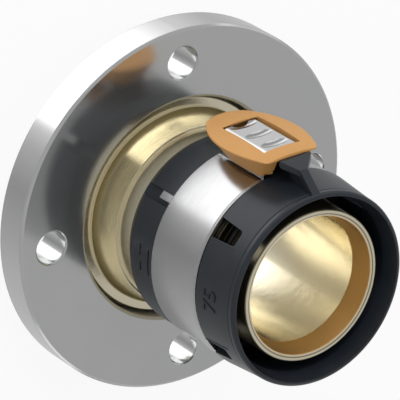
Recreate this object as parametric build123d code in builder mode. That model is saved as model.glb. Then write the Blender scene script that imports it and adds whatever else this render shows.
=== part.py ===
"""Flange coupling for a plastic composite pipe.

A gunmetal body carries a loose steel flange behind its sealing collar. On the other side it has
a press socket: a support tube with two seal rings, held round by a rear ring, a steel press
sleeve with a pressing ear, and a front guide ring. A coloured indicator is clipped over the ear
and comes off when the joint is pressed.

The Z axis is the pipe axis and points out of the socket. The origin is the centre of the sealing
face. The X axis points through the pressing ear. Lengths are in millimetres, angles in degrees.
"""

import os
from math import cos, radians, sin

from build123d import *

os.makedirs("parts", exist_ok=True)

# Loose flange and its bolt circle
flange_bore_radius = 48.5
flange_thickness = 16.0
flange_edge_chamfer = 1.0
flange_bore_chamfer = 1.1
flange_turn = -1.4
bolt_land = 16.5
bolt_edge_distance = 15.0
bolt_hole_radius = 7.0
bolt_hole_count = 4
bolt_hole_chamfer = 0.5

# Collar, stub and hub of the body
collar_cover = 6.5
collar_thickness = 5.0
collar_chamfer = 0.8
running_gap = 0.3
stub_clearance = 1.4
stub_recess = 4.7
stub_chamfer = 0.4
root_fillet = 0.6
hub_step_depth = 3.9
hub_step_height = 1.4
hub_neck_step = 2.0
hub_taper_length = 11.8
neck_land_rise = 0.7
neck_land_gap = 0.5
neck_length = 9.55
snap_groove_depth = 0.8
snap_groove_width = 2.4
snap_groove_distance = 3.0

# Bore of the body
tube_wall = 5.2
flange_bore_widening = 5.3
flange_bore_cone_length = 24.0

# Pipe that the socket takes, and the play it has there
pipe_radius = 37.5
pipe_wall = 4.7
pipe_outer_play = 0.5
pipe_inner_play = 0.4

# Support tube
tube_chamfer = 0.5
tube_rim_width = 1.1
tube_rim_drop = 0.4
tube_recess = 4.3
tube_entry_widening = 2.4
tube_entry_length = 9.0
front_seal_distance = 20.3
rear_seal_distance = 37.6
serration_distance = 25.4
serration_pitch = 1.5
serration_count = 4
serration_depth = 0.8
serration_slope_share = 0.65
serration_root_share = 0.75

# Seal rings and their grooves
seal_section = 3.5
seal_proud = 0.2
seal_play = 0.1
seal_groove_extra = 0.9

# Insulating ring at the pipe stop
insulator_thickness = 2.0
insulator_play = 0.3

# Rear ring
seat_play = 0.4
rear_ring_seat_length = 7.1
rear_ring_length = 20.55
rear_ring_wall = 4.5
rear_ring_nose_wall = 1.2
rear_ring_shoulder_drop = 0.4
rear_ring_shoulder_length = 4.6
rear_ring_land_length = 8.0
rear_ring_shoulder_round = 3.0
channel_angle = 49.7
channel_span = 7.6
channel_depth = 2.6
slit_width = 0.8
slit_depth = 0.7
slit_arcs = ((11.55, 78.4, 85.3), (11.95, 88.9, 94.1), (17.35, 79.4, 94.9))

# Press sleeve and its ear
sleeve_wall = 1.5
sleeve_rise = 0.3
sleeve_length = 30.1
sleeve_lip = 1.0
sleeve_bead_depth = 0.25
skirt_play = 0.3
ear_half_width = 8.36
ear_rise = 11.2
ear_edge_radius = 1.6
ear_top_setback = 1.7
ear_front_lip = 1.0
ear_scallop_depth = 3.0
ear_scallop_width = 10.4
dent_distances = (5.2, 15.7, 26.2)
dent_depth = 0.9
dent_half_width = 6.3
dent_half_length = 2.6
tab_turn = 1.4
tab_span = 4.5
tab_length = 7.6
tab_thickness = 0.9
tab_drop = 1.15

# Front guide ring
ring_gap = 1.0
front_ring_length = 23.1
front_ring_rise = 0.4
front_ring_taper = 1.6
front_lip_width = 1.9
front_lip_round = 1.5
rim_band_length = 3.5
rim_groove_depth = 0.35
rim_groove_width = 0.6
entry_flare_length = 7.6
skirt_length = 7.0
window_angles = (48.0, -48.0, 122.0, -122.0)
window_width = 8.8
window_front_width = 7.0
window_lengths = (13.5, 13.5, 12.0, 12.0)
window_round = 1.5
panel_start_angle = 54.0
panel_end_angle = 116.0
panel_depth = 0.25
panel_length = 14.6

# Bracket of the front ring: a strap that rises from the rim and widens before the indicator
bracket_shift = -0.5
bracket_width = 14.6
bracket_stem_width = 3.6
bracket_thickness = 2.0
bracket_foot_rise = 0.2
bracket_foot_distance = 1.0
bracket_bend_rise = 7.6
bracket_bend_distance = 9.1
bracket_top_extra = 0.2
bracket_top_land = 1.4
bracket_stem_round = 2.5
bracket_rib_width = 1.6
bracket_rib_back = 2.0
bracket_rib_front = 3.6

# Pressing indicator
indicator_cover = 1.5
indicator_thickness = 2.9
indicator_rim_width = 8.84
indicator_crown_across = 75.0
indicator_crown_along = 175.0
indicator_crown_half_angle = 20.0
indicator_rear_reach = 9.9
indicator_front_reach = 8.2
indicator_nose_width = 17.9
indicator_nose_length = 2.4
indicator_wide_point = 25.9
indicator_front_width = 24.3
indicator_corner = 2.4
window_play = 0.55
window_rear_distance = 2.8
window_front_distance = 1.5
ear_play = 0.2
ear_end_play = 0.3
ear_back_play = 1.0
hull_inset = 0.6
hull_corner = 5.0
hull_base_gap = 0.8
hull_wall = 1.49
hull_base_back = 7.0
hull_base_front = 5.2
hull_base_nose_width = 14.0
hull_base_nose_length = 2.5
hull_base_front_width = 18.0
hull_front_opening = 13.2
hull_step_rises = (5.6, 3.6, 1.6)
hull_step_distances = (2.4, 4.2, 6.7)

# How far a cut reaches past what it cuts, and how near a measured edge must be to its name
cut_over = 1.0
match = 0.01

# Places along the axis, from the sealing face to the mouth
flange_back = collar_thickness + running_gap
flange_front = flange_back + flange_thickness
stub_front = flange_front - stub_recess
hub_taper_start = stub_front + hub_step_height
neck_start = hub_taper_start + hub_taper_length
rear_ring_back = neck_start + neck_length
neck_end = rear_ring_back + rear_ring_seat_length
sleeve_back = rear_ring_back + rear_ring_length
sleeve_front = sleeve_back + sleeve_length
front_ring_back = sleeve_front + ring_gap
front_ring_front = front_ring_back + front_ring_length
tube_front = front_ring_front - tube_recess
plate_back = sleeve_back - indicator_rear_reach
plate_front = sleeve_front + indicator_front_reach
plate_middle = plate_back + indicator_wide_point
opening_back = sleeve_back + window_rear_distance
opening_front = sleeve_front + window_front_distance

# Radii of the flange and of what turns in it
bolt_circle_radius = flange_bore_radius + bolt_land
flange_radius = bolt_circle_radius + bolt_edge_distance
collar_radius = flange_bore_radius + collar_cover
stub_radius = flange_bore_radius - stub_clearance
hub_step_radius = stub_radius - hub_step_depth

# Radii that follow from the pipe
socket_radius = pipe_radius + pipe_outer_play
neck_radius = socket_radius - seat_play
hub_taper_radius = neck_radius + hub_neck_step
tube_radius = pipe_radius - pipe_wall - pipe_inner_play
bore_radius = tube_radius - tube_wall
rear_ring_radius = socket_radius + rear_ring_wall
sleeve_radius = rear_ring_radius + sleeve_rise
sleeve_bore_radius = sleeve_radius - sleeve_wall
skirt_radius = sleeve_bore_radius - skirt_play
front_ring_rear_radius = sleeve_radius + front_ring_rise
front_ring_front_radius = front_ring_rear_radius - front_ring_taper

# Heights over the pipe axis, and half widths, of the ear and of what stands round it
ear_height = sleeve_radius + ear_rise
indicator_top = ear_height + indicator_cover
indicator_edge_height = indicator_top - indicator_thickness
hull_base_height = sleeve_radius + hull_base_gap
bracket_foot_height = front_ring_front_radius + bracket_foot_rise
bracket_bend_height = bracket_foot_height + bracket_bend_rise
opening_half_width = ear_half_width + window_play
indicator_half_width = opening_half_width + indicator_rim_width

# Seal ring grooves
seal_outer_radius = pipe_radius - pipe_wall + seal_proud
seal_centre_radius = seal_outer_radius - seal_section / 2
seal_groove_radius = seal_centre_radius - seal_section / 2 - seal_play
seal_groove_half = (seal_section + seal_groove_extra) / 2
seal_heights = (tube_front - rear_seal_distance, tube_front - front_seal_distance)


def ring_sector(inner_radius, outer_radius, middle_angle, span):
    """A flat ring sector, seen along the axis."""
    with BuildSketch() as sector:
        with BuildLine():
            start = middle_angle - span / 2
            inner = CenterArc((0, 0), inner_radius, start, span)
            outer = CenterArc((0, 0), outer_radius, start, span)
            Line(inner @ 0, outer @ 0)
            Line(inner @ 1, outer @ 1)
        make_face()
    return sector.sketch


def radial_plane(angle, height):
    """A plane across the radius at this angle. Its own y axis is the pipe axis."""
    return Plane(
        origin=(0, 0, height),
        x_dir=(-sin(radians(angle)), cos(radians(angle)), 0),
        z_dir=(cos(radians(angle)), sin(radians(angle)), 0),
    )


# Loose flange: a turned steel plate with a chamfered bore and four bolt holes
with BuildPart() as loose_flange:
    with BuildSketch(Plane.XY.offset(flange_back)):
        Circle(flange_radius)
        Circle(flange_bore_radius, mode=Mode.SUBTRACT)
    extrude(amount=flange_thickness)
    flange_circles = loose_flange.edges().filter_by(GeomType.CIRCLE)
    chamfer(flange_circles.filter_by(lambda e: e.radius > bolt_circle_radius), flange_edge_chamfer)
    chamfer(flange_circles.filter_by(lambda e: e.radius < bolt_circle_radius), flange_bore_chamfer)
    with BuildSketch(Plane.XY.offset(flange_back)):
        with PolarLocations(bolt_circle_radius, bolt_hole_count, start_angle=flange_turn):
            Circle(bolt_hole_radius)
    extrude(amount=flange_thickness, mode=Mode.SUBTRACT)
    hole_circles = loose_flange.edges().filter_by(GeomType.CIRCLE)
    chamfer(hole_circles.filter_by(lambda e: abs(e.radius - bolt_hole_radius) < match), bolt_hole_chamfer)

loose_flange.part.label = "loose_flange"

# Body: collar, stub, hub, neck and support tube, turned about the pipe axis
snap_groove_start = rear_ring_back + snap_groove_distance
snap_groove_end = snap_groove_start + snap_groove_width
serration_start = tube_front - serration_distance - serration_count * serration_pitch

with BuildPart() as fitting_body:
    with BuildSketch(Plane.XZ):
        with BuildLine():
            Polyline(
                (bore_radius + flange_bore_widening, 0),
                (collar_radius, 0),
                (collar_radius, collar_thickness),
                (stub_radius, collar_thickness),
                (stub_radius, stub_front),
                (hub_step_radius, stub_front),
                (hub_step_radius, hub_taper_start),
                (hub_taper_radius, neck_start),
                (neck_radius + neck_land_rise, neck_start),
                (neck_radius + neck_land_rise, rear_ring_back - neck_land_gap),
                (neck_radius, rear_ring_back - neck_land_gap),
                (neck_radius, snap_groove_start),
                (neck_radius - snap_groove_depth, snap_groove_start + snap_groove_depth / 2),
                (neck_radius - snap_groove_depth, snap_groove_end),
                (neck_radius, snap_groove_end),
                (neck_radius, neck_end),
                (tube_radius, neck_end),
                (tube_radius, tube_front - tube_chamfer),
                (tube_radius - tube_chamfer, tube_front),
                (tube_radius - tube_chamfer - tube_rim_width, tube_front),
                (bore_radius + tube_entry_widening, tube_front - tube_rim_drop),
                (bore_radius, tube_front - tube_entry_length),
                (bore_radius, flange_bore_cone_length),
                close=True,
            )
        make_face()
    revolve(axis=Axis.Z)

    # Grooves for the seal rings
    for seal_height in seal_heights:
        with BuildSketch(Plane.XY.offset(seal_height - seal_groove_half)):
            Circle(tube_radius + cut_over)
            Circle(seal_groove_radius, mode=Mode.SUBTRACT)
        extrude(amount=2 * seal_groove_half, mode=Mode.SUBTRACT)

    # Serrations that hold the pressed pipe: each tooth is steep towards the stop
    with BuildSketch(Plane.XZ):
        for tooth in range(serration_count):
            tooth_start = serration_start + tooth * serration_pitch
            tooth_root = tooth_start + serration_pitch * serration_slope_share
            tooth_end = tooth_start + serration_pitch * serration_root_share
            with BuildLine():
                Polyline(
                    (tube_radius, tooth_start),
                    (tube_radius - serration_depth, tooth_root),
                    (tube_radius, tooth_end),
                    (tube_radius + cut_over, tooth_end),
                    (tube_radius + cut_over, tooth_start),
                    close=True,
                )
            make_face()
    revolve(axis=Axis.Z, mode=Mode.SUBTRACT)

    # Broken edges of the collar, the stub and the hub
    turned_edges = fitting_body.edges().filter_by(GeomType.CIRCLE)
    chamfer(turned_edges.filter_by(lambda e: abs(e.radius - collar_radius) < match), collar_chamfer)
    stub_edges = turned_edges.filter_by(lambda e: abs(e.radius - stub_radius) < match).sort_by(Axis.Z)
    chamfer(stub_edges[-1], stub_chamfer)
    fillet(stub_edges[0], root_fillet)

fitting_body.part.label = "fitting_body"

# Seal rings in the grooves of the support tube
with BuildPart() as rear_seal_ring:
    with Locations((0, 0, seal_heights[0])):
        Torus(seal_centre_radius, seal_section / 2)

rear_seal_ring.part.label = "rear_seal_ring"

with BuildPart() as front_seal_ring:
    with Locations((0, 0, seal_heights[1])):
        Torus(seal_centre_radius, seal_section / 2)

front_seal_ring.part.label = "front_seal_ring"

# Insulating ring: keeps the cut pipe end off the body's shoulder
with BuildPart() as insulating_ring:
    with BuildSketch(Plane.XY.offset(neck_end)):
        Circle(pipe_radius - insulator_play)
        Circle(tube_radius + insulator_play, mode=Mode.SUBTRACT)
    extrude(amount=insulator_thickness)

insulating_ring.part.label = "insulating_ring"

# Rear ring: snaps onto the neck and carries the sleeve on its skirt
shoulder_radius = rear_ring_radius - rear_ring_shoulder_drop

with BuildPart() as rear_guide_ring:
    with BuildSketch(Plane.XZ):
        with BuildLine():
            Polyline(
                (socket_radius, rear_ring_back),
                (socket_radius + rear_ring_nose_wall, rear_ring_back),
                (shoulder_radius, rear_ring_back + rear_ring_shoulder_length),
                (rear_ring_radius, rear_ring_back + rear_ring_land_length),
                (rear_ring_radius, sleeve_back),
                (skirt_radius, sleeve_back),
                (skirt_radius, sleeve_back + skirt_length),
                (socket_radius, sleeve_back + skirt_length),
                (socket_radius, snap_groove_end - skirt_play),
                (socket_radius - snap_groove_depth, snap_groove_end - skirt_play),
                (socket_radius, snap_groove_start + snap_groove_depth),
                close=True,
            )
        make_face()
    revolve(axis=Axis.Z)
    ring_edges = rear_guide_ring.edges().filter_by(GeomType.CIRCLE)
    shoulder_edges = ring_edges.filter_by(lambda e: abs(e.radius - shoulder_radius) < match)
    fillet(shoulder_edges, rear_ring_shoulder_round)

    # Channels that key the sleeve's tabs
    for side in (1, -1):
        with BuildSketch(Plane.XY.offset(rear_ring_back)):
            add(
                ring_sector(
                    rear_ring_radius - channel_depth,
                    rear_ring_radius + cut_over,
                    side * channel_angle,
                    channel_span,
                )
            )
        extrude(amount=rear_ring_length, mode=Mode.SUBTRACT)

    # Slits round the snap fingers, on both sides of the ear
    for slit_distance, slit_start, slit_end in slit_arcs:
        for side in (1, -1):
            with BuildSketch(Plane.XY.offset(rear_ring_back + slit_distance)):
                add(
                    ring_sector(
                        rear_ring_radius - slit_depth,
                        rear_ring_radius + cut_over,
                        side * (slit_start + slit_end) / 2,
                        slit_end - slit_start,
                    )
                )
            extrude(amount=slit_width, mode=Mode.SUBTRACT)

rear_guide_ring.part.label = "rear_guide_ring"

# Press sleeve: a steel band whose loop stands up as the pressing ear
tab_radius = rear_ring_radius - tab_drop
tab_angle = channel_angle - tab_turn

with BuildPart() as press_sleeve:
    with BuildSketch(Plane.XZ):
        with BuildLine():
            Polyline(
                (sleeve_bore_radius, sleeve_back),
                (sleeve_radius, sleeve_back),
                (sleeve_radius, sleeve_front - sleeve_lip - sleeve_bead_depth),
                (sleeve_radius - sleeve_bead_depth, sleeve_front - sleeve_lip),
                (sleeve_radius, sleeve_front - sleeve_lip + sleeve_bead_depth),
                (sleeve_radius, sleeve_front - sleeve_bead_depth),
                (sleeve_radius - sleeve_bead_depth, sleeve_front),
                (sleeve_bore_radius, sleeve_front),
                close=True,
            )
        make_face()
    revolve(axis=Axis.Z)

    # Outer form of the ear: its top starts in from the cheeks' back edge and ends past their front
    ear_top_start = sleeve_back + ear_top_setback
    ear_inside = ear_height - sleeve_wall
    with BuildSketch(Plane.XZ.offset(-ear_half_width)):
        with BuildLine():
            Polyline(
                (sleeve_bore_radius, sleeve_back),
                (ear_inside, sleeve_back),
                (ear_inside, ear_top_start),
                (ear_height, ear_top_start),
                (ear_height, sleeve_front + ear_front_lip),
                (ear_inside, sleeve_front + ear_front_lip),
                (ear_inside, sleeve_front),
                (sleeve_bore_radius, sleeve_front),
                close=True,
            )
        make_face()
    extrude(amount=2 * ear_half_width)
    ear_edges = press_sleeve.edges().filter_by(Axis.Z).group_by(Axis.X)[-1]
    fillet(ear_edges, ear_edge_radius)

    # Inside of the loop, one sheet thickness within the outside, open to the pipe
    with BuildSketch(Plane.XY.offset(sleeve_back)):
        with Locations((pipe_radius, 0)):
            Rectangle(
                ear_inside - pipe_radius,
                2 * (ear_half_width - sleeve_wall),
                align=(Align.MIN, Align.CENTER),
            )
    extrude(amount=sleeve_length, mode=Mode.SUBTRACT)

    # Scalloped back end of the ear's top
    scallop_radius = (ear_scallop_width**2 / 4 + ear_scallop_depth**2) / (2 * ear_scallop_depth)
    with BuildSketch(Plane.YZ.offset(ear_inside - cut_over)):
        with Locations((0, ear_top_start + ear_scallop_depth - scallop_radius)):
            Circle(scallop_radius)
    extrude(amount=sleeve_wall + 2 * cut_over, mode=Mode.SUBTRACT)

    # Dents pressed into the ear's top, long across it and narrow along it
    dent_across_radius = (dent_half_width**2 + dent_depth**2) / (2 * dent_depth)
    dent_along_radius = (dent_half_length**2 + dent_depth**2) / (2 * dent_depth)
    for dent_distance in dent_distances:
        with Locations((ear_height - dent_depth + dent_across_radius, 0, sleeve_back + dent_distance)):
            Torus(dent_across_radius - dent_along_radius, dent_along_radius, mode=Mode.SUBTRACT)

    # Tabs that lie in the rear ring's channels
    for side in (1, -1):
        with BuildSketch(Plane.XY.offset(sleeve_back - tab_length)):
            add(ring_sector(tab_radius, tab_radius + tab_thickness, side * tab_angle, tab_span))
        extrude(amount=tab_length + sleeve_lip)

press_sleeve.part.label = "press_sleeve"

# Front guide ring: a moulded cone with an entry flare, four windows and a bracket
rim_start = front_ring_front - rim_band_length

with BuildPart() as front_guide_ring:
    with BuildSketch(Plane.XZ):
        with BuildLine():
            Polyline(
                (socket_radius, front_ring_back - skirt_length),
                (skirt_radius, front_ring_back - skirt_length),
                (skirt_radius, front_ring_back),
                (front_ring_rear_radius, front_ring_back),
                (front_ring_front_radius, rim_start),
                (front_ring_front_radius - rim_groove_depth, rim_start + rim_groove_width / 2),
                (front_ring_front_radius, rim_start + rim_groove_width),
                (front_ring_front_radius, front_ring_front),
                (front_ring_front_radius - front_lip_width, front_ring_front),
                (socket_radius, front_ring_front - entry_flare_length),
                close=True,
            )
        make_face()
    revolve(axis=Axis.Z)
    rim_edges = front_guide_ring.edges().filter_by(GeomType.CIRCLE).group_by(Axis.Z)[-1]
    fillet(rim_edges.sort_by(lambda e: e.radius)[-1], front_lip_round)

    # Shallow panel between two windows
    panel_slope = (front_ring_rear_radius - front_ring_front_radius) / (rim_start - front_ring_back)
    panel_radius = front_ring_rear_radius - panel_depth
    with BuildSketch(Plane.XZ.rotated((0, 0, panel_start_angle))):
        with BuildLine():
            Polyline(
                (panel_radius, front_ring_back),
                (panel_radius + cut_over, front_ring_back),
                (panel_radius + cut_over, front_ring_back + panel_length),
                (panel_radius - panel_slope * panel_length, front_ring_back + panel_length),
                close=True,
            )
        make_face()
    revolve(axis=Axis.Z, revolution_arc=panel_end_angle - panel_start_angle, mode=Mode.SUBTRACT)

    # Bracket: a bent strap, cut to a funnel outline, with a thin rib below it
    bracket_top = indicator_edge_height + bracket_top_extra
    bracket_back = plate_front + running_gap
    bracket_bend = front_ring_front - bracket_bend_distance
    bracket_foot = front_ring_front - bracket_foot_distance
    inner_foot = bracket_foot_height - bracket_thickness
    inner_bend = bracket_bend_height - bracket_thickness
    with BuildPart(mode=Mode.PRIVATE) as strap:
        with BuildSketch(Plane.XZ.offset(-bracket_shift)):
            with BuildLine():
                Polyline(
                    (bracket_foot_height, bracket_foot),
                    (bracket_bend_height, bracket_bend),
                    (bracket_top, bracket_back + bracket_top_land),
                    (bracket_top, bracket_back),
                    (bracket_top - bracket_thickness, bracket_back),
                    (inner_bend, bracket_bend - bracket_thickness / 2),
                    (inner_foot, bracket_foot - bracket_thickness / 2),
                    (inner_foot, bracket_foot),
                    close=True,
                )
            make_face()
        extrude(amount=bracket_width / 2, both=True)
        with BuildSketch(Plane.YZ):
            with BuildLine():
                Polyline(
                    (bracket_shift + bracket_stem_width / 2, front_ring_front),
                    (bracket_shift + bracket_stem_width / 2, bracket_bend),
                    (bracket_shift + bracket_width / 2, bracket_back + bracket_top_land),
                    (bracket_shift + bracket_width / 2, bracket_back),
                    (bracket_shift - bracket_width / 2, bracket_back),
                    (bracket_shift - bracket_width / 2, bracket_back + bracket_top_land),
                    (bracket_shift - bracket_stem_width / 2, bracket_bend),
                    (bracket_shift - bracket_stem_width / 2, front_ring_front),
                    close=True,
                )
            strap_face = make_face()
            bend_corners = strap_face.vertices().filter_by(lambda v: abs(v.Z - bracket_bend) < match)
            fillet(bend_corners, bracket_stem_round)
        extrude(amount=bracket_top + cut_over, mode=Mode.INTERSECT)
    add(strap.part)
    with BuildSketch(Plane.XZ.offset(-bracket_shift)):
        with BuildLine():
            Polyline(
                (inner_foot, front_ring_front - bracket_rib_front),
                (inner_bend + bracket_thickness / 2, bracket_bend),
                (bracket_top - bracket_thickness / 2, bracket_back),
                (bracket_top - bracket_thickness / 2, bracket_back - bracket_rib_back),
                (inner_foot, bracket_back - bracket_rib_back),
                close=True,
            )
        make_face()
    extrude(amount=bracket_rib_width / 2, both=True)

    # Windows, open towards the sleeve, wider there than at their rounded front end
    window_back = front_ring_back - skirt_length - cut_over
    window_floor = socket_radius - cut_over
    for window_angle, window_length in zip(window_angles, window_lengths):
        window_end = front_ring_back + window_length
        with BuildSketch(radial_plane(window_angle, 0).offset(window_floor)):
            with BuildLine():
                Polyline(
                    (-window_width / 2, window_back),
                    (-window_width / 2, front_ring_back),
                    (-window_front_width / 2, window_end),
                    (window_front_width / 2, window_end),
                    (window_width / 2, front_ring_back),
                    (window_width / 2, window_back),
                    close=True,
                )
            window_face = make_face()
            fillet(window_face.vertices().group_by(Axis.Z)[-1], window_round)
        extrude(amount=front_ring_rear_radius + cut_over - window_floor, mode=Mode.SUBTRACT)

front_guide_ring.part.label = "front_guide_ring"

# Pressing indicator: a crowned plate with a window over the ear and a hull-shaped skirt below
def indicator_outline(half_width, back, front, nose_width, nose_length, front_width, corner):
    """An outline with a blunt nose at the back and a straight front, seen from above."""
    with BuildSketch() as outline:
        with BuildLine():
            nose_start = (-nose_width / 2, back + nose_length)
            nose_end = (nose_width / 2, back + nose_length)
            ThreePointArc(nose_start, (0, back), nose_end)
            for side in (1, -1):
                nose_corner = (side * nose_width / 2, back + nose_length)
                widest = (side * half_width, plate_middle)
                front_corner = (side * front_width / 2, front)
                TangentArc(widest, nose_corner, tangent=(0, -1))
                TangentArc(widest, front_corner, tangent=(0, 1))
            Line((-front_width / 2, front), (front_width / 2, front))
        make_face()
        fillet(outline.vertices().sort_by(Axis.Y)[-2:], corner)
    return outline.sketch


plate_outline = indicator_outline(
    indicator_half_width,
    plate_back,
    plate_front,
    indicator_nose_width,
    indicator_nose_length,
    indicator_front_width,
    indicator_corner,
)
hull_top_outline = indicator_outline(
    indicator_half_width - hull_inset,
    plate_back + hull_inset,
    plate_front - hull_inset,
    indicator_nose_width,
    indicator_nose_length,
    indicator_front_width - hull_inset,
    hull_corner,
)
hull_base_outline = indicator_outline(
    opening_half_width + hull_wall,
    plate_back + hull_base_back,
    plate_front - hull_base_front,
    hull_base_nose_width,
    hull_base_nose_length,
    hull_base_front_width,
    hull_corner,
)

with BuildPart() as press_indicator:
    # Plate, cut to a crown that falls to the sides and to both ends
    with BuildSketch(Plane.YZ.offset(indicator_edge_height)):
        add(plate_outline)
    extrude(amount=indicator_thickness + cut_over)
    with BuildSketch(Plane.XZ):
        with BuildLine():
            crown = CenterArc(
                (indicator_top - indicator_crown_along, plate_middle),
                indicator_crown_along,
                -indicator_crown_half_angle,
                2 * indicator_crown_half_angle,
            )
            Polyline(
                crown @ 1,
                (indicator_top - indicator_crown_across, (crown @ 1).Y),
                (indicator_top - indicator_crown_across, (crown @ 0).Y),
                crown @ 0,
            )
        make_face()
    crown_axis = Axis((indicator_top - indicator_crown_across, 0, 0), (0, 0, 1))
    revolve(axis=crown_axis, mode=Mode.INTERSECT)

    # Skirt: a hull that narrows from the plate down to the sleeve
    with BuildSketch(Plane.YZ.offset(indicator_edge_height)):
        add(hull_top_outline)
    with BuildSketch(Plane.YZ.offset(hull_base_height)):
        add(hull_base_outline)
    loft()

    # Window in the plate, and room for the ear and the bracket's rib below it
    cut_base = hull_base_height - cut_over
    with BuildSketch(Plane.YZ.offset(cut_base)):
        with Locations((0, opening_back)):
            Rectangle(2 * opening_half_width, opening_front - opening_back, align=(Align.CENTER, Align.MIN))
    extrude(amount=indicator_top + cut_over - cut_base, mode=Mode.SUBTRACT)
    with BuildSketch(Plane.XY.offset(ear_top_start - ear_end_play)) as ear_room:
        with Locations((cut_base, 0)):
            Rectangle(
                ear_height + ear_play - cut_base,
                2 * opening_half_width,
                align=(Align.MIN, Align.CENTER),
            )
        fillet(ear_room.vertices().group_by(Axis.X)[-1], ear_edge_radius)
    extrude(amount=sleeve_length / 2, mode=Mode.SUBTRACT)
    with BuildSketch(Plane.YZ.offset(cut_base)):
        with Locations((0, sleeve_back - ear_back_play)):
            Rectangle(2 * opening_half_width, sleeve_length / 2, align=(Align.CENTER, Align.MIN))
        with Locations((0, opening_front - cut_over)):
            Rectangle(hull_front_opening, plate_front - opening_back, align=(Align.CENTER, Align.MIN))
    extrude(amount=ear_inside + ear_end_play - cut_base, mode=Mode.SUBTRACT)

    # Steps at the front end of the skirt
    step_width = 2 * (indicator_half_width + cut_over)
    for step_rise, step_distance in zip(hull_step_rises, hull_step_distances):
        with BuildSketch(Plane.YZ.offset(cut_base)):
            with Locations((0, plate_front - step_distance)):
                Rectangle(step_width, step_distance + cut_over, align=(Align.CENTER, Align.MIN))
        extrude(amount=step_rise + cut_over, mode=Mode.SUBTRACT)

press_indicator.part.label = "press_indicator"

for piece in (
    loose_flange,
    fitting_body,
    rear_seal_ring,
    front_seal_ring,
    insulating_ring,
    rear_guide_ring,
    press_sleeve,
    front_guide_ring,
    press_indicator,
):
    export_step(piece.part, f"parts/{piece.part.label}.step")
    print(piece.part.label, len(piece.part.solids()), round(piece.part.volume, 1))
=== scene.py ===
# %% [markdown]
# Flange coupling for a plastic composite pipe. The turned metal body, the loose flange, the
# press sleeve, the moulded rings and the clip-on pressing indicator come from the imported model,
# at their real places. This script adds what the eye expects on them: the finish of each
# surface, a raised size number, and a plain studio with a camera.

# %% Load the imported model
from math import cos, radians, sin, tau

import bpy
from mathutils import Matrix, Vector


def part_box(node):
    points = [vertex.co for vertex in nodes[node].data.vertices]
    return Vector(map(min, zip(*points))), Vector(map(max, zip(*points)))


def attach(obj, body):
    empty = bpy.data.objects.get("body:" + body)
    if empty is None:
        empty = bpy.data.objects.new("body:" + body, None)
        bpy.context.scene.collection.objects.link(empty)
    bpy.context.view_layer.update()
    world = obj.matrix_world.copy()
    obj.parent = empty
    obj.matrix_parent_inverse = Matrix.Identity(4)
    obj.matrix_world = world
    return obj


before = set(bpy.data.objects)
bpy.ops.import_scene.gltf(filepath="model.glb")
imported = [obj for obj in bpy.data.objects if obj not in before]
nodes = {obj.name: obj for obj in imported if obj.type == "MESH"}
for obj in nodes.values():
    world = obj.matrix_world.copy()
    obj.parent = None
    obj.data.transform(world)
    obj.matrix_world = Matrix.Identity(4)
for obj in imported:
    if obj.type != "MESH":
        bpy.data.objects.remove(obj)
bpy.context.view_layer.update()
print("nodes:", sorted(nodes))

# %% [markdown]
# The model lies on its sealing face, with the pipe axis upwards. The photograph was taken with
# a long lens from the ear's side, well above the flange, and with the ear pointing up in the
# picture. A camera that tracks a target is easy to aim, but it stays upright, so this one gets
# its place and its three turns as numbers, and can roll. A long lens is a small field of view
# from far away, which keeps the circles of both ends nearly alike.

# %% Camera
SENSOR_WIDTH = 36.0
LENS = 393.73
NEAREST = 0.05
FARTHEST = 50.0
CAMERA_PLACE = (0.796278, 0.913454, 1.354852)
CAMERA_TURN = (-25.26008, -35.25317, -91.51117)

camera_data = bpy.data.cameras.new("camera")
camera_data.sensor_width = SENSOR_WIDTH
camera_data.lens = LENS
camera_data.clip_start = NEAREST
camera_data.clip_end = FARTHEST
camera = bpy.data.objects.new("camera", camera_data)
camera.location = CAMERA_PLACE
camera.rotation_euler = [radians(angle) for angle in CAMERA_TURN]
bpy.context.scene.collection.objects.link(camera)
bpy.context.scene.camera = camera
print("camera distance:", round(camera.location.length, 3), "m")

# %% [markdown]
# Light and finishes are node trees. They could be drawn by hand in the editor, but a tree that is
# written down can be read and repeated. A few small helpers keep it short: one adds a node with
# its settings, one does sums, and one turns a rise of one value into a rise of another. A Mix
# node has a pair of sockets for each kind of value under the same names, so they are picked by
# their places: 2 and 3 take numbers, and 6 and 7 take colours.

# %% Helpers for node trees
def add_node(tree, kind, **settings):
    """Adds a node of this kind and sets its properties."""
    node = tree.nodes.new(kind)
    for name, value in settings.items():
        setattr(node, name, value)
    return node


def feed(tree, value, socket):
    """Sets a socket to a plain number, or links another socket to it."""
    if isinstance(value, (int, float)):
        socket.default_value = value
    else:
        tree.links.new(value, socket)


def math_node(tree, operation, first, second=0.0, clamp=False):
    """Adds a Math node. Each input is a number or an output socket."""
    node = add_node(tree, "ShaderNodeMath", operation=operation, use_clamp=clamp)
    feed(tree, first, node.inputs[0])
    feed(tree, second, node.inputs[1])
    return node.outputs[0]


def ramp(tree, value, start, end, low=0.0, high=1.0, shape="LINEAR"):
    """Goes from low to high while the value goes from start to end."""
    node = add_node(tree, "ShaderNodeMapRange", interpolation_type=shape)
    node.inputs["From Min"].default_value = start
    node.inputs["From Max"].default_value = end
    node.inputs["To Min"].default_value = low
    node.inputs["To Max"].default_value = high
    tree.links.new(value, node.inputs["Value"])
    return node.outputs[0]


def soft_step(tree, value, start, end):
    """Rises smoothly from 0 to 1 between two values."""
    return ramp(tree, value, start, end, shape="SMOOTHSTEP")


def blend_numbers(tree, mask, first, second):
    """Mixes two numbers, each a plain value or a socket."""
    node = add_node(tree, "ShaderNodeMix", data_type="FLOAT")
    tree.links.new(mask, node.inputs["Factor"])
    feed(tree, first, node.inputs[2])
    feed(tree, second, node.inputs[3])
    return node.outputs[0]


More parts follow.
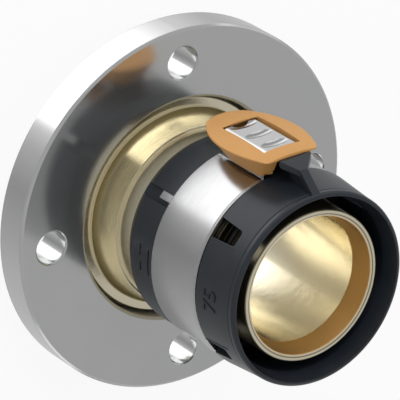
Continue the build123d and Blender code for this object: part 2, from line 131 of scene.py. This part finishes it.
# %% [markdown]
# The studio is white. Shiny metal shows its surroundings, so the surroundings matter more than
# the lamps. They could be a picture of a real studio, or cards and soft boxes built round the
# part. Here they are soft bands of light that run round the pipe axis, each a short list of
# given angles and levels, because that is easy to change and needs no file. A low band
# lights the upright walls, and a middle one the sloping hub.

# %% World: bands of light round the axis
BRIGHTEST = 3.0
# Each stop is an angle round the axis, in degrees from the ear, and a share of BRIGHTEST
LOW_BAND = (
    (-180, 0.22), (-80, 0.20), (-50, 0.34), (-22, 0.70), (3, 0.80), (45, 0.80), (51, 0.30),
    (65, 0.20), (90, 0.13), (145, 0.21), (180, 0.22),
)
MIDDLE_BAND = (
    (-180, 0.44), (-62, 0.26), (-54, 0.60), (30, 0.60), (35, 0.045), (108, 0.045),
    (124, 0.19), (150, 0.34), (180, 0.44),
)


def light_band(tree, share, stops):
    """A level that follows the share of a full turn, from stop to stop."""
    band = add_node(tree, "ShaderNodeValToRGB")
    band.color_ramp.interpolation = "LINEAR"
    while len(band.color_ramp.elements) < len(stops):
        band.color_ramp.elements.new(0.5)
    for element, (angle, level) in zip(band.color_ramp.elements, stops):
        element.position = angle / 360 + 0.5
        element.color = (level, level, level, 1)
    tree.links.new(share, band.inputs[0])
    return math_node(tree, "MULTIPLY", band.outputs[0], BRIGHTEST)


print("low band:", len(LOW_BAND), "stops, middle band:", len(MIDDLE_BAND), "stops")

# %% [markdown]
# Only mirror rays see the bands. Between and above them, and where matt surfaces gather their
# light, the level is even, near half of white, at which a colour renders about as it is written.
# The camera itself sees pure white, as on a cut-out product picture. One level for all rays would
# be simpler, but then the bands would shade the plastics too, or the metal would be an even grey.
# A Light Path node tells the rays apart.

# %% World: what each kind of ray sees
WHITE = (1, 1, 1, 1)
EVEN_LIGHT = 0.52
MATT_LIGHT = 0.5
LOW_BAND_TOP = (-0.62, -0.5)
MIDDLE_BAND_FOOT = (-0.04, 0.0)
MIDDLE_BAND_TOP = (0.20, 0.28)


def mirror_rays(tree, path):
    """1 for rays that come by a mirror or through glass."""
    glossy, through = path.outputs["Is Glossy Ray"], path.outputs["Is Transmission Ray"]
    return math_node(tree, "MAXIMUM", glossy, through)


def build_world():
    """The studio's light, by direction and by the kind of ray that sees it."""
    world = bpy.data.worlds.new("studio")
    world.use_nodes = True
    tree = world.node_tree
    tree.nodes.clear()
    direction = add_node(tree, "ShaderNodeSeparateXYZ")
    tree.links.new(add_node(tree, "ShaderNodeTexCoord").outputs["Generated"], direction.inputs[0])
    turn = math_node(tree, "ARCTAN2", direction.outputs["Y"], direction.outputs["X"])
    share = math_node(tree, "ADD", math_node(tree, "DIVIDE", turn, tau), 0.5)
    low = light_band(tree, share, LOW_BAND)
    middle = light_band(tree, share, MIDDLE_BAND)
    height = direction.outputs["Z"]
    above_low = soft_step(tree, height, *LOW_BAND_TOP)
    in_middle = soft_step(tree, height, *MIDDLE_BAND_FOOT)
    above_middle = soft_step(tree, height, *MIDDLE_BAND_TOP)
    level = blend_numbers(tree, above_low, low, EVEN_LIGHT)
    level = blend_numbers(tree, in_middle, level, middle)
    level = blend_numbers(tree, above_middle, level, EVEN_LIGHT)
    path = add_node(tree, "ShaderNodeLightPath")
    for_object = blend_numbers(tree, mirror_rays(tree, path), MATT_LIGHT, level)
    for_camera = blend_numbers(tree, path.outputs["Is Camera Ray"], for_object, 1.0)
    background = add_node(tree, "ShaderNodeBackground")
    background.inputs["Color"].default_value = WHITE
    tree.links.new(for_camera, background.inputs["Strength"])
    output = add_node(tree, "ShaderNodeOutputWorld")
    tree.links.new(background.outputs[0], output.inputs[0])
    bpy.context.scene.world = world


build_world()
print("world:", bpy.context.scene.world.name)

# %% [markdown]
# The floor is a large pale sheet under the sealing face. A plain white floor would need strong
# light to look white, and that light would bleach the part. So most of what the camera sees of it
# is its own white, and a little of its real shading is left for a soft shadow. Mirror rays pass
# through it, because on the real set the coupling stood free of the table and its shiny
# underside mirrored the whole studio.

# %% Floor
FLOOR_RADIUS = 4.0
FLOOR_SIDES = 96
FLOOR_DROP = 0.0004
FLOOR_PAPER = (0.86, 0.86, 0.86, 1)
FLOOR_OWN_WHITE = 0.9


def mix_shaders(tree, share, first, second):
    """Goes from the first shader to the second as the share goes from 0 to 1."""
    node = add_node(tree, "ShaderNodeMixShader")
    tree.links.new(share, node.inputs[0])
    tree.links.new(first.outputs[0], node.inputs[1])
    tree.links.new(second.outputs[0], node.inputs[2])
    return node


def floor_material():
    """Paper with a white of its own for the camera, and clear to mirror rays."""
    material = bpy.data.materials.new("pale_floor")
    material.use_nodes = True
    tree = material.node_tree
    tree.nodes.clear()
    paper = add_node(tree, "ShaderNodeBsdfDiffuse")
    paper.inputs["Color"].default_value = FLOOR_PAPER
    white = add_node(tree, "ShaderNodeEmission")
    white.inputs["Color"].default_value = WHITE
    white.inputs["Strength"].default_value = 1.0
    clear = add_node(tree, "ShaderNodeBsdfTransparent")
    path = add_node(tree, "ShaderNodeLightPath")
    own_white = math_node(tree, "MULTIPLY", path.outputs["Is Camera Ray"], FLOOR_OWN_WHITE)
    seen = mix_shaders(tree, own_white, paper, white)
    whole = mix_shaders(tree, mirror_rays(tree, path), seen, clear)
    output = add_node(tree, "ShaderNodeOutputMaterial")
    tree.links.new(whole.outputs[0], output.inputs[0])
    return material


bpy.ops.object.select_all(action="DESELECT")
bpy.ops.mesh.primitive_circle_add(
    vertices=FLOOR_SIDES, radius=FLOOR_RADIUS, fill_type="NGON", location=(0, 0, -FLOOR_DROP)
)
floor = bpy.context.active_object
floor.name = "floor"
floor.data.materials.append(floor_material())
print("floor radius:", round(floor.dimensions.x / 2, 2), "m")

# %% [markdown]
# Three area lamps do the rest. Sun or point lamps would draw hard shadows, and these are wide
# discs, as soft boxes are. The strongest hangs above the ear, a second fills from the left, and
# a third keeps the far side from going black. Mirror rays don't see them: the bands are there
# for that.

# %% Lamps
LAMP_WIDTH = 0.9
LAMP_AIM = (0, 0, 0.05)


def add_lamp(name, place, watts):
    """A soft disc of light that points at the coupling."""
    data = bpy.data.lights.new(name, "AREA")
    data.shape = "DISK"
    data.size = LAMP_WIDTH
    data.energy = watts
    lamp = bpy.data.objects.new(name, data)
    lamp.location = place
    lamp.rotation_mode = "QUATERNION"
    lamp.rotation_quaternion = (Vector(LAMP_AIM) - Vector(place)).to_track_quat("-Z", "Y")
    lamp.visible_glossy = False
    bpy.context.scene.collection.objects.link(lamp)
    print(name, watts, "W")


add_lamp("ear_lamp", (1.3, 0.2, 0.9), 10)
add_lamp("left_lamp", (0.5, 1.4, 0.7), 1.5)
add_lamp("far_lamp", (0.2, -1.3, 0.9), 3)

# %% [markdown]
# Most surfaces here share a few patterns: lathe marks, the grain of a mould, and worn edges.
# Each could be copied into every material, but then a change would have to be made many times,
# so each is a group, built once and placed wherever it is needed. They all start from noise in
# Object coordinates, which stays in place when a piece moves.

# %% Helpers for groups
NOISE_DARK = 0.3
NOISE_LIGHT = 0.7


def new_group(name, inputs, outputs):
    """An empty group with named sockets. Returns it, its input node and its output node."""
    group = bpy.data.node_groups.new(name, "ShaderNodeTree")
    for label in inputs:
        group.interface.new_socket(label, in_out="INPUT", socket_type="NodeSocketFloat")
    for label in outputs:
        kind = "NodeSocketVector" if label == "Normal" else "NodeSocketFloat"
        group.interface.new_socket(label, in_out="OUTPUT", socket_type=kind)
    return group, add_node(group, "NodeGroupInput"), add_node(group, "NodeGroupOutput")


def object_place(tree):
    """The point on the piece that is being shaded."""
    return add_node(tree, "ShaderNodeTexCoord").outputs["Object"]


def noise(tree, place, scale, detail):
    """Cloudy noise. The scale is a number or a socket."""
    node = add_node(tree, "ShaderNodeTexNoise")
    node.inputs["Detail"].default_value = detail
    feed(tree, scale, node.inputs["Scale"])
    tree.links.new(place, node.inputs["Vector"])
    return node


def vary(tree, cloud, low, high):
    """Spreads the usual range of a noise over low to high."""
    return ramp(tree, cloud, NOISE_DARK, NOISE_LIGHT, low, high)


# %% [markdown]
# Turned metal carries fine lathe marks that run round the axis. A stretched image would show a
# seam, so this noise reads the distance from the axis plus the height along it, finely, and the
# direction round the axis, coarsely. The group gives a height for a Bump node, a mask that
# varies colour, and the two distances, by which a finish can start and end.

# %% Group: lathe marks
MARKS_DETAIL = 4.0
MARKS_ROUGHNESS = 0.6
PATCH_SCALE = 45.0
PATCH_DETAIL = 3.0


def build_lathe_marks():
    """Marks that run round the Z axis, and where on the piece they are."""
    outputs = ("Height", "Patches", "Radius", "Along")
    group, entry, leave = new_group("lathe_marks", ("Fineness", "Length"), outputs)
    place = object_place(group)
    parts = add_node(group, "ShaderNodeSeparateXYZ")
    group.links.new(place, parts.inputs[0])
    x, y, z = parts.outputs
    x_squared = math_node(group, "MULTIPLY", x, x)
    y_squared = math_node(group, "MULTIPLY", y, y)
    radius = math_node(group, "SQRT", math_node(group, "ADD", x_squared, y_squared))
    # The direction round the axis as a point on a circle, so that the pattern has no seam
    round_x = math_node(group, "DIVIDE", x, radius)
    round_y = math_node(group, "DIVIDE", y, radius)
    reach = math_node(group, "ADD", radius, z)
    length, fineness = entry.outputs["Length"], entry.outputs["Fineness"]
    point = add_node(group, "ShaderNodeCombineXYZ")
    group.links.new(math_node(group, "MULTIPLY", round_x, length), point.inputs[0])
    group.links.new(math_node(group, "MULTIPLY", round_y, length), point.inputs[1])
    group.links.new(math_node(group, "MULTIPLY", reach, fineness), point.inputs[2])
    marks = noise(group, point.outputs[0], 1.0, MARKS_DETAIL)
    marks.inputs["Roughness"].default_value = MARKS_ROUGHNESS
    patches = noise(group, place, PATCH_SCALE, PATCH_DETAIL)
    for label, value in zip(outputs, (marks.outputs[0], patches.outputs[0], radius, z)):
        group.links.new(value, leave.inputs[label])
    return group


lathe_marks = build_lathe_marks()
print("group:", lathe_marks.name)

# %% [markdown]
# Moulded plastic has a fine, even grain from the mould, and slow changes of gloss where it
# cooled unevenly. Two noises of different size make both, because neither has a direction.

# %% Group: moulded grain
GRAIN_DETAIL = 2.0
CLOUD_SCALE = 60.0
CLOUD_DETAIL = 3.0


def build_moulded_grain():
    """A fine height, and slow clouds that vary colour and gloss."""
    group, entry, leave = new_group("moulded_grain", ("Scale",), ("Height", "Clouds"))
    place = object_place(group)
    grain = noise(group, place, entry.outputs["Scale"], GRAIN_DETAIL)
    clouds = noise(group, place, CLOUD_SCALE, CLOUD_DETAIL)
    group.links.new(grain.outputs[0], leave.inputs["Height"])
    group.links.new(clouds.outputs[0], leave.inputs["Clouds"])
    return group


moulded_grain = build_moulded_grain()
print("group:", moulded_grain.name)

# %% [markdown]
# Corners that are handled lose their skin first. The wear could be painted, but a Bevel node
# finds the corners by itself: it gives the normal that a small rounding would have. Where that
# differs from the real normal, there is an edge. The group turns the difference into a mask,
# broken up by noise, and also gives the rounded normal, which makes sharp corners catch light.

# %% Group: worn edges
BEVEL_SAMPLES = 6
FLAT_LIKENESS = 0.995
EDGE_LIKENESS = 0.86
CHIP_SCALE = 900.0
CHIP_DETAIL = 3.0
CHIP_LOSS = 0.45


def build_worn_edges():
    """A mask of the edges, and the normal of a rounded edge."""
    group, entry, leave = new_group("worn_edges", ("Width",), ("Edge", "Normal"))
    rounding = add_node(group, "ShaderNodeBevel", samples=BEVEL_SAMPLES)
    group.links.new(entry.outputs["Width"], rounding.inputs["Radius"])
    true_normal = add_node(group, "ShaderNodeNewGeometry").outputs["Normal"]
    likeness = add_node(group, "ShaderNodeVectorMath", operation="DOT_PRODUCT")
    group.links.new(rounding.outputs[0], likeness.inputs[0])
    group.links.new(true_normal, likeness.inputs[1])
    edge = ramp(group, likeness.outputs["Value"], FLAT_LIKENESS, EDGE_LIKENESS)
    chips = noise(group, object_place(group), CHIP_SCALE, CHIP_DETAIL)
    wear = vary(group, chips.outputs[0], CHIP_LOSS, 1.0)
    broken = math_node(group, "MULTIPLY", edge, wear, clamp=True)
    group.links.new(broken, leave.inputs["Edge"])
    group.links.new(rounding.outputs[0], leave.inputs["Normal"])
    return group


worn_edges = build_worn_edges()
print("group:", worn_edges.name)

# %% [markdown]
# A material joins these patterns. The next helpers start one, place a group in it, mix its
# colours, lay a height over its normal, and put it on a node of the model.

# %% Helpers for materials
def new_material(name):
    """A material with a Principled shader and its output, and nothing else."""
    material = bpy.data.materials.new(name)
    material.use_nodes = True
    tree = material.node_tree
    return material, tree, tree.nodes["Principled BSDF"]


def place_group(tree, group, **values):
    """Places a group and sets its inputs by name."""
    node = add_node(tree, "ShaderNodeGroup", node_tree=group)
    for name, value in values.items():
        node.inputs[name].default_value = value
    return node


def vary_color(tree, cloud, first, second):
    """Mixes two colours by a noise."""
    node = add_node(tree, "ShaderNodeMix", data_type="RGBA")
    tree.links.new(vary(tree, cloud, 0.0, 1.0), node.inputs["Factor"])
    node.inputs[6].default_value = (*first, 1)
    node.inputs[7].default_value = (*second, 1)
    return node.outputs[2]


def blend_color(tree, mask, first, second):
    """Mixes a colour socket with a fixed colour by a mask from 0 to 1."""
    node = add_node(tree, "ShaderNodeMix", data_type="RGBA")
    tree.links.new(mask, node.inputs["Factor"])
    tree.links.new(first, node.inputs[6])
    node.inputs[7].default_value = (*second, 1)
    return node.outputs[2]


def bump(tree, height, strength, distance, normal):
    """Lays a height over a normal and gives the Bump node."""
    node = add_node(tree, "ShaderNodeBump")
    node.inputs["Strength"].default_value = strength
    node.inputs["Distance"].default_value = distance
    tree.links.new(height, node.inputs["Height"])
    tree.links.new(normal, node.inputs["Normal"])
    return node


def dress(piece_name, material):
    """Gives a node of the model this material in place of its plain one."""
    piece = nodes[piece_name]
    piece.data.materials.clear()
    piece.data.materials.append(material)
    print(piece_name, "wears", material.name)


# %% [markdown]
# Metal first. An anisotropic shader could stretch its highlights, but real lathe marks do that by
# themselves, so the marks are laid over the normal and the shader stays plain. Worn corners are
# brighter and rougher than the faces between them.

# %% Turned metal
MARK_DEPTH = 0.00004
EDGE_ROUGHER = 0.12


def turned_metal(name, face, roughness, marks, strength, edge_color, edge_width, haze=0.0):
    """Bright turned metal.

    The face has two colours, which its patches vary between, and the marks have a fineness and a
    length. Haze is the share of the surface that is dull instead of metallic. The last thing
    returned holds the sockets and the node that a special finish can add to.
    """
    material, tree, shader = new_material(name)
    pattern = place_group(tree, lathe_marks, Fineness=marks[0], Length=marks[1])
    edges = place_group(tree, worn_edges, Width=edge_width)
    shader.inputs["Metallic"].default_value = 1.0 - haze
    face_color = vary_color(tree, pattern.outputs["Patches"], *face)
    color = blend_color(tree, edges.outputs["Edge"], face_color, edge_color)
    tree.links.new(color, shader.inputs["Base Color"])
    face_rough = vary(tree, pattern.outputs["Height"], *roughness)
    edge_rough = math_node(tree, "MULTIPLY", edges.outputs["Edge"], EDGE_ROUGHER)
    rough = math_node(tree, "ADD", face_rough, edge_rough)
    tree.links.new(rough, shader.inputs["Roughness"])
    normal = edges.outputs["Normal"]
    skin = bump(tree, pattern.outputs["Height"], strength, MARK_DEPTH, normal)
    tree.links.new(skin.outputs[0], shader.inputs["Normal"])
    parts = {
        "along": pattern.outputs["Along"],
        "radius": pattern.outputs["Radius"],
        "color": color,
        "rough": rough,
        "normal": normal,
        "skin": skin,
    }
    return material, tree, shader, parts


# %% [markdown]
# The flange is machined steel with a thin bright plating: nearly a mirror, so the fitting shows
# in it. The body is gunmetal, turned to a bright face, and warmer than the steel. Its strong
# marks blur what it mirrors along the axis. The sleeve is rolled stainless sheet, a little
# softer than the flange. One function makes all three, because only their numbers differ.

# %% The three metals
flange_steel, flange_tree, flange_shader, flange_parts = turned_metal(
    "bright_flange_steel",
    face=((0.585, 0.595, 0.59), (0.605, 0.61, 0.605)),
    roughness=(0.11, 0.17),
    marks=(2600.0, 3.0),
    strength=0.05,
    edge_color=(0.72, 0.73, 0.73),
    edge_width=0.0005,
    haze=0.07,
)
gunmetal, body_tree, body_shader, body_parts = turned_metal(
    "turned_gunmetal",
    face=((0.80, 0.730, 0.545), (0.84, 0.770, 0.590)),
    roughness=(0.12, 0.17),
    marks=(5200.0, 4.0),
    strength=0.8,
    edge_color=(0.90, 0.84, 0.68),
    edge_width=0.0004,
    haze=0.04,
)
sleeve_steel, *_ = turned_metal(
    "rolled_stainless_sheet",
    face=((0.47, 0.47, 0.475), (0.50, 0.50, 0.505)),
    roughness=(0.22, 0.27),
    marks=(900.0, 9.0),
    strength=0.02,
    edge_color=(0.72, 0.72, 0.72),
    edge_width=0.0004,
)
print("metals:", flange_steel.name, gunmetal.name, sleeve_steel.name)

# %% [markdown]
# The flange's faces and rim are finished fine, but its bore only clears the body, so it is left
# as it was bored: rougher, and too dull to mirror the hub. A second material would need its own
# faces, and the mesh isn't ours to sort, so a ramp on the distance from the axis adds the
# roughness.

# %% Bored finish of the flange's bore
BORE_FINISH_START = 0.0500
BORE_FINISH_END = 0.0494
BORE_ROUGHER = 0.4
bored = ramp(
    flange_tree, flange_parts["radius"], BORE_FINISH_START, BORE_FINISH_END, high=BORE_ROUGHER
)
flange_rough = math_node(flange_tree, "ADD", flange_parts["rough"], bored)
flange_tree.links.new(flange_rough, flange_shader.inputs["Roughness"])
print("bored inside a radius of", round(BORE_FINISH_START * 1000, 1), "mm")

# %% [markdown]
# The tube's mouth opens in a short cone, turned with a coarse feed, so it is duller than the
# bore behind it. It also looks browner, and that colour is a painted glow: a warmer, redder brass
# that stands in for the light thrown to and fro inside the bore. Painting it would need a texture,
# so it is found by its place: one mask starts where the cone starts, measured back from the tube's
# front, one ends at the cone's edge, and their product is the cone.

# %% Coarse finish and painted glow of the tube's entry cone
ENTRY_CONE_LENGTH = 0.0089
ENTRY_CONE_RADIUS = 0.02965
# Painted glow: a warmer brass that stands in for light bounced round inside the bore
ENTRY_CONE_GLOW_COLOR = (0.95, 0.62, 0.27)
ENTRY_CONE_ROUGHER = 0.22
FINISH_FADE = 0.0002
tube_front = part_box("fitting_body")[1].z
entry_start = tube_front - ENTRY_CONE_LENGTH
entry_edge = ENTRY_CONE_RADIUS + FINISH_FADE
in_front = ramp(body_tree, body_parts["along"], entry_start, entry_start + FINISH_FADE)
inside = ramp(body_tree, body_parts["radius"], entry_edge, ENTRY_CONE_RADIUS)
entry_cone = math_node(body_tree, "MULTIPLY", in_front, inside)
entry_glow_color = blend_color(body_tree, entry_cone, body_parts["color"], ENTRY_CONE_GLOW_COLOR)
entry_rough = math_node(body_tree, "MULTIPLY", entry_cone, ENTRY_CONE_ROUGHER)
print("entry cone:", round(entry_start * 1000, 1), "to", round(tube_front * 1000, 1), "mm")

# %% [markdown]
# Round the rim runs a fine dark line of painted shade: the shade of the small step where the flat
# front land ends and the mouth begins to fall inwards. The step is too fine to cut, so its shade is
# a colour. Two soft steps of the radius, one up and one down, leave a narrow ring of mask.

# %% Painted shade line round the rim
RIM_LINE_START = 0.0303
RIM_LINE_END = 0.0309
RIM_LINE_FADE = 0.0001
# Painted shade: the dark of the small step between the front land and the mouth
RIM_SHADE_COLOR = (0.30, 0.26, 0.17)


def soft_band(tree, value, start, end, fade):
    """1 between two values, with a soft step at each end."""
    risen = soft_step(tree, value, start, start + fade)
    fallen = soft_step(tree, value, end - fade, end)
    return math_node(tree, "SUBTRACT", risen, fallen)


line_ring = soft_band(
    body_tree, body_parts["radius"], RIM_LINE_START, RIM_LINE_END, RIM_LINE_FADE
)
rim_shade_line = math_node(body_tree, "MULTIPLY", line_ring, in_front)
rim_shade_color = blend_color(body_tree, rim_shade_line, entry_glow_color, RIM_SHADE_COLOR)
print("rim line:", round((RIM_LINE_END - RIM_LINE_START) * 1000, 1), "mm wide")

# %% [markdown]
# The outside of the tube is covered by the pipe, so it is only rough-turned and dull. Its darker
# colour is painted shade: it stands in the dark of the socket, where a bright wall would throw
# spots out of the windows. It is masked as the entry cone is, from its foot forwards and from its
# wall outwards.

# %% Rough-turned outside of the tube, with painted shade
TUBE_FOOT = 0.0485
TUBE_OUTSIDE = 0.0319
# Painted shade: the dark of the socket round the tube, far darker than the turned brass
TUBE_OUTSIDE_SHADE_COLOR = (0.27, 0.24, 0.16)
TUBE_OUTSIDE_ROUGHER = 0.28
above_foot = ramp(body_tree, body_parts["along"], TUBE_FOOT, TUBE_FOOT + FINISH_FADE)
outside = ramp(body_tree, body_parts["radius"], TUBE_OUTSIDE, TUBE_OUTSIDE + FINISH_FADE)
tube_outside = math_node(body_tree, "MULTIPLY", above_foot, outside)
tube_shade_color = blend_color(body_tree, tube_outside, rim_shade_color, TUBE_OUTSIDE_SHADE_COLOR)
outside_rough = math_node(body_tree, "MULTIPLY", tube_outside, TUBE_OUTSIDE_ROUGHER)
finish_rough = math_node(body_tree, "ADD", entry_rough, outside_rough)
body_rough = math_node(body_tree, "ADD", body_parts["rough"], finish_rough)
body_tree.links.new(body_rough, body_shader.inputs["Roughness"])
print("rough-turned from", round(TUBE_FOOT * 1000, 1), "mm up")

# %% [markdown]
# In the photograph the hub's cone mirrors only the bright face of the flange, and never the
# gap beside it. The real cone leans a few degrees more than the solid's. The mesh stays as it
# is, and a Bump node whose height falls along the cone leans the normals instead.

# %% Lean of the hub's cone
CONE_START = 0.0180
CONE_END = 0.0298
CONE_LEAN_HEIGHT = 0.00175
FULL_STRENGTH = 1.0
BORE_LIMIT = 0.0350
falling = ramp(body_tree, body_parts["along"], CONE_START, CONE_END, low=1.0, high=0.0)
off_bore = math_node(body_tree, "GREATER_THAN", body_parts["radius"], BORE_LIMIT)
lean_height = math_node(body_tree, "MULTIPLY", falling, off_bore)
lean = bump(body_tree, lean_height, FULL_STRENGTH, CONE_LEAN_HEIGHT, body_parts["normal"])
body_tree.links.new(lean.outputs[0], body_parts["skin"].inputs["Normal"])
print("cone:", round(CONE_START * 1000, 1), "to", round(CONE_END * 1000, 1), "mm up")

# %% [markdown]
# The cone is also given the yellowest colour of the body.
# The soft band that made the rim's line marks it here along the axis, away from the bore.

# %% Yellower colour of the hub's cone
HUB_CONE_COLOR = (0.84, 0.715, 0.42)
HUB_CONE_FADE = 0.0003
cone_band = soft_band(body_tree, body_parts["along"], CONE_START, CONE_END, HUB_CONE_FADE)
hub_cone = math_node(body_tree, "MULTIPLY", cone_band, off_bore)
hub_color = blend_color(body_tree, hub_cone, tube_shade_color, HUB_CONE_COLOR)
body_tree.links.new(hub_color, body_shader.inputs["Base Color"])
print("yellower colour over", round((CONE_END - CONE_START) * 1000, 1), "mm")

# %% [markdown]
# The metals are finished and can go on. A node of the model arrives with a plain material in its
# slot. Its mesh stays as it is, and only that material is changed, so that the shape and its
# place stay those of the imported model.

# %% Dress the metal pieces
dress("loose_flange", flange_steel)
dress("fitting_body", gunmetal)
dress("press_sleeve", sleeve_steel)

# %% [markdown]
# Now the plastics and the rubber. Their shapes differ and their skins are alike, so one function
# makes them all: a dark or bright base under an even grain, with slow changes of colour and
# gloss. Rubbed corners of the black pieces turn grey, and those of the orange one pale.

# %% Moulded skin
GRAIN_DEPTH = 0.00005


def moulded(name, face, roughness, scale, strength, edge_color, edge_width, gloss=0.5):
    """A moulded skin. Gloss is how strongly it mirrors, 0.5 for a common plastic."""
    material, tree, shader = new_material(name)
    shader.inputs["Specular IOR Level"].default_value = gloss
    grain = place_group(tree, moulded_grain, Scale=scale)
    edges = place_group(tree, worn_edges, Width=edge_width)
    face_color = vary_color(tree, grain.outputs["Clouds"], *face)
    color = blend_color(tree, edges.outputs["Edge"], face_color, edge_color)
    tree.links.new(color, shader.inputs["Base Color"])
    rough = vary(tree, grain.outputs["Clouds"], *roughness)
    tree.links.new(rough, shader.inputs["Roughness"])
    normal = edges.outputs["Normal"]
    skin = bump(tree, grain.outputs["Height"], strength, GRAIN_DEPTH, normal)
    tree.links.new(skin.outputs[0], shader.inputs["Normal"])
    return material


# %% [markdown]
# The guide rings are black glass-filled nylon with a satin skin. The indicator is a soft matt
# orange. The seal rings are black rubber, and the insulating ring is a dull black plastic. One
# black for all of them would do from far away, but close up each has its own gloss and grain.

# %% The plastics and the rubber
black_nylon = moulded(
    "satin_black_nylon",
    face=((0.0125, 0.0165, 0.0225), (0.0170, 0.0215, 0.0285)),
    roughness=(0.30, 0.38),
    scale=2600.0,
    strength=0.10,
    edge_color=(0.034, 0.040, 0.048),
    edge_width=0.0003,
    gloss=0.44,
)
orange_plastic = moulded(
    "matt_orange_plastic",
    face=((0.610, 0.305, 0.090), (0.650, 0.333, 0.104)),
    roughness=(0.5, 0.6),
    scale=2200.0,
    strength=0.12,
    edge_color=(0.76, 0.45, 0.17),
    edge_width=0.0003,
)
seal_rubber = moulded(
    "black_seal_rubber",
    face=((0.010, 0.010, 0.011), (0.015, 0.015, 0.016)),
    roughness=(0.32, 0.42),
    scale=1800.0,
    strength=0.1,
    edge_color=(0.03, 0.03, 0.031),
    edge_width=0.0002,
)
dull_plastic = moulded(
    "dull_black_plastic",
    face=((0.018, 0.018, 0.020), (0.024, 0.024, 0.026)),
    roughness=(0.5, 0.6),
    scale=2000.0,
    strength=0.1,
    edge_color=(0.05, 0.05, 0.052),
    edge_width=0.0002,
)
dress("rear_guide_ring", black_nylon)
dress("front_guide_ring", black_nylon)
dress("press_indicator", orange_plastic)
dress("rear_seal_ring", seal_rubber)
dress("front_seal_ring", seal_rubber)
dress("insulating_ring", dull_plastic)

# %% [markdown]
# The front ring carries its pipe size as a plain raised number, 75, that reads round the ring
# with its feet towards the mouth. It starts as flat text, made into a mesh at once, because a
# text can't be bent. Cuts across it give it points to bend at.

# %% Flat number, cut so that it can bend
NUMBER_TEXT = "75"
NUMBER_SMOOTHNESS = 6
NUMBER_CUTS = 10
NUMBER_MERGE = 0.0001
bpy.ops.object.select_all(action="DESELECT")
bpy.ops.object.text_add(location=(0, 0, 0))
size_number = bpy.context.active_object
size_number.name = "size_number"
size_number.data.body = NUMBER_TEXT
size_number.data.resolution_u = NUMBER_SMOOTHNESS
bpy.ops.object.convert(target="MESH")
width, height = size_number.dimensions.x, size_number.dimensions.y
corners = [Vector(corner) for corner in size_number.bound_box]
middle = sum(corners, Vector()) / len(corners)
bpy.ops.object.mode_set(mode="EDIT")
bpy.ops.mesh.select_all(action="SELECT")
bpy.ops.mesh.remove_doubles(threshold=NUMBER_MERGE)
for cut in range(1, NUMBER_CUTS):
    cut_at = middle.x - width / 2 + width * cut / NUMBER_CUTS
    bpy.ops.mesh.select_all(action="SELECT")
    bpy.ops.mesh.bisect(plane_co=(cut_at, 0, 0), plane_no=(1, 0, 0))
bpy.ops.object.mode_set(mode="OBJECT")
print("flat number:", len(size_number.data.polygons), "faces")

# %% [markdown]
# The flat number is scaled and set in front of the ring, facing out. Its three directions are
# written as a matrix: the way it reads, the way it stands, and the way it faces.

# %% Number in front of the ring
NUMBER_HEIGHT = 0.0072
NUMBER_ANGLE = radians(87)
NUMBER_FROM_MOUTH = 0.0149
NUMBER_STAND_OFF = 0.060
ring_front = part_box("front_guide_ring")[1].z
outwards = Vector((cos(NUMBER_ANGLE), sin(NUMBER_ANGLE), 0))
reading = Vector((sin(NUMBER_ANGLE), -cos(NUMBER_ANGLE), 0))
upwards = Vector((0, 0, -1))
facing = Matrix((reading, upwards, outwards)).transposed().to_4x4()
number_place = outwards * NUMBER_STAND_OFF + Vector((0, 0, ring_front - NUMBER_FROM_MOUTH))
number_size = Matrix.Scale(NUMBER_HEIGHT / height, 4)
size_number.matrix_world = (
    Matrix.Translation(number_place) @ facing @ number_size @ Matrix.Translation(-middle)
)
bpy.ops.object.transform_apply(location=True, rotation=True, scale=True)
print("number height:", round(size_number.dimensions.z * 1000, 1), "mm")

# %% [markdown]
# A Shrinkwrap modifier projects the flat number onto the ring's wall, and a Solidify modifier
# gives it its thickness, most of it outwards. A curve modifier would bend it too, but it
# wouldn't find the wall. The digits are a little glossier than the ring, as polished steel
# letters in the mould leave them, and a darker black, which is painted shade, so that they read
# as dark strokes with shaded sides.

# %% Number on the ring
NUMBER_WALL = 0.0004
NUMBER_WALL_OFFSET = 0.75
wrap = size_number.modifiers.new("wrap", "SHRINKWRAP")
wrap.target = nodes["front_guide_ring"]
wrap.wrap_method = "PROJECT"
wrap.use_positive_direction = False
wrap.use_negative_direction = True
wall = size_number.modifiers.new("wall", "SOLIDIFY")
wall.thickness = NUMBER_WALL
wall.offset = NUMBER_WALL_OFFSET
bpy.ops.object.modifier_apply(modifier="wrap")
bpy.ops.object.modifier_apply(modifier="wall")
shaded_polished_nylon = moulded(
    "polished_shade_painted_nylon",
    # Painted shade: a darker black than the ring's, so that the digits read as dark strokes
    face=((0.0080, 0.0105, 0.0150), (0.0100, 0.0130, 0.0180)),
    roughness=(0.16, 0.22),
    scale=2600.0,
    strength=0.05,
    edge_color=(0.026, 0.031, 0.038),
    edge_width=0.0001,
    gloss=0.38,
)
size_number.data.materials.clear()
size_number.data.materials.append(shaded_polished_nylon)
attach(size_number, "fitting")
radii = [vertex.co.xy.length * 1000 for vertex in size_number.data.vertices]
print("number stands", round(min(radii), 2), "to", round(max(radii), 2), "mm from the axis")

# %% [markdown]
# Last, the colours are shown as they are, without a film look.

# %% Colour management
bpy.context.scene.view_settings.view_transform = "Standard"
